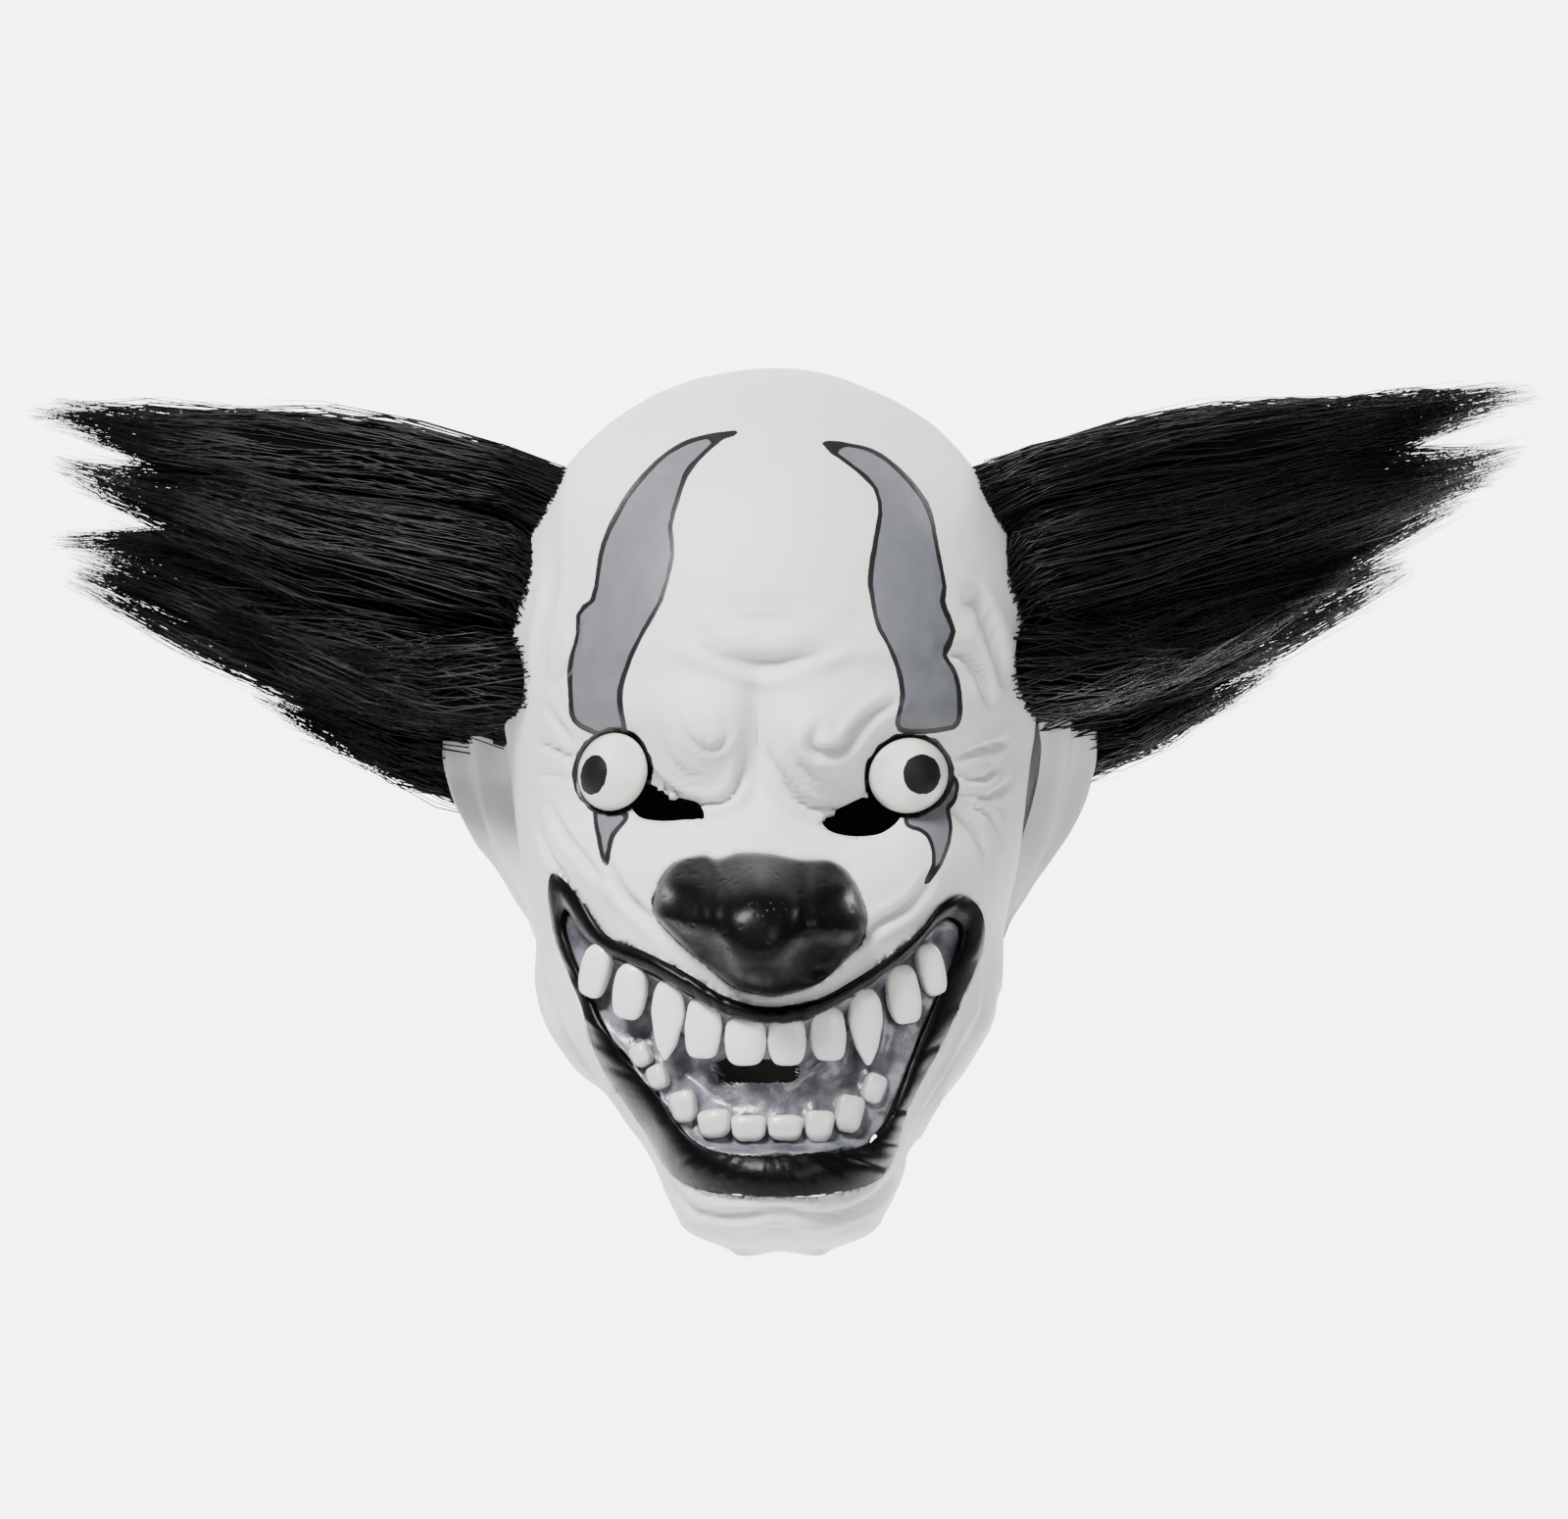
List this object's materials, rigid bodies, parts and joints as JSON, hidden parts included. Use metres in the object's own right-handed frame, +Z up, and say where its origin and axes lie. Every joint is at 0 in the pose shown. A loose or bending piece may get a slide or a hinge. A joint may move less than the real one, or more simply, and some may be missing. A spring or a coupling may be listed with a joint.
{
  "type": "mask",
  "caption": "Full-head white latex clown mask with grey eye stripes, bulging eyes, black nose and lips, bared teeth and black fur tufts",
  "frame": {"origin": "the point on the inside of the crown that rests on top of the wearer's head", "axes": "+Z up, the face looks along -Y, the wearer's left is +X"},
  "size_m": [0.5213, 0.2601, 0.3035],
  "materials": {
    "latex_white": "matte cast latex, painted white with grey stripes",
    "eye_gloss": "glossy cream paint under clear varnish",
    "black_gloss": "gloss black paint on latex",
    "gum_grey": "mottled grey paint, wet gloss",
    "tooth_ivory": "semi-gloss ivory paint",
    "fur_black": "long-pile black faux fur with a sheen"
  },
  "bodies": {
    "root": {"mask_shell": "latex_white", "eye_right": "eye_gloss", "eye_left": "eye_gloss", "nose": "black_gloss", "lips": "black_gloss", "gums": "gum_grey", "upper_tooth_1": "tooth_ivory", "upper_tooth_2": "tooth_ivory", "upper_tooth_3": "tooth_ivory", "upper_tooth_4": "tooth_ivory", "upper_tooth_5": "tooth_ivory", "upper_tooth_6": "tooth_ivory", "upper_tooth_7": "tooth_ivory", "upper_tooth_8": "tooth_ivory", "upper_tooth_9": "tooth_ivory", "upper_tooth_10": "tooth_ivory", "lower_tooth_1": "tooth_ivory", "lower_tooth_2": "tooth_ivory", "lower_tooth_3": "tooth_ivory", "lower_tooth_4": "tooth_ivory", "lower_tooth_5": "tooth_ivory", "lower_tooth_6": "tooth_ivory", "lower_tooth_7": "tooth_ivory", "lower_tooth_8": "tooth_ivory", "lower_tooth_9": "tooth_ivory", "hair_right": "fur_black", "hair_left": "fur_black"}
  },
  "joints": []
}
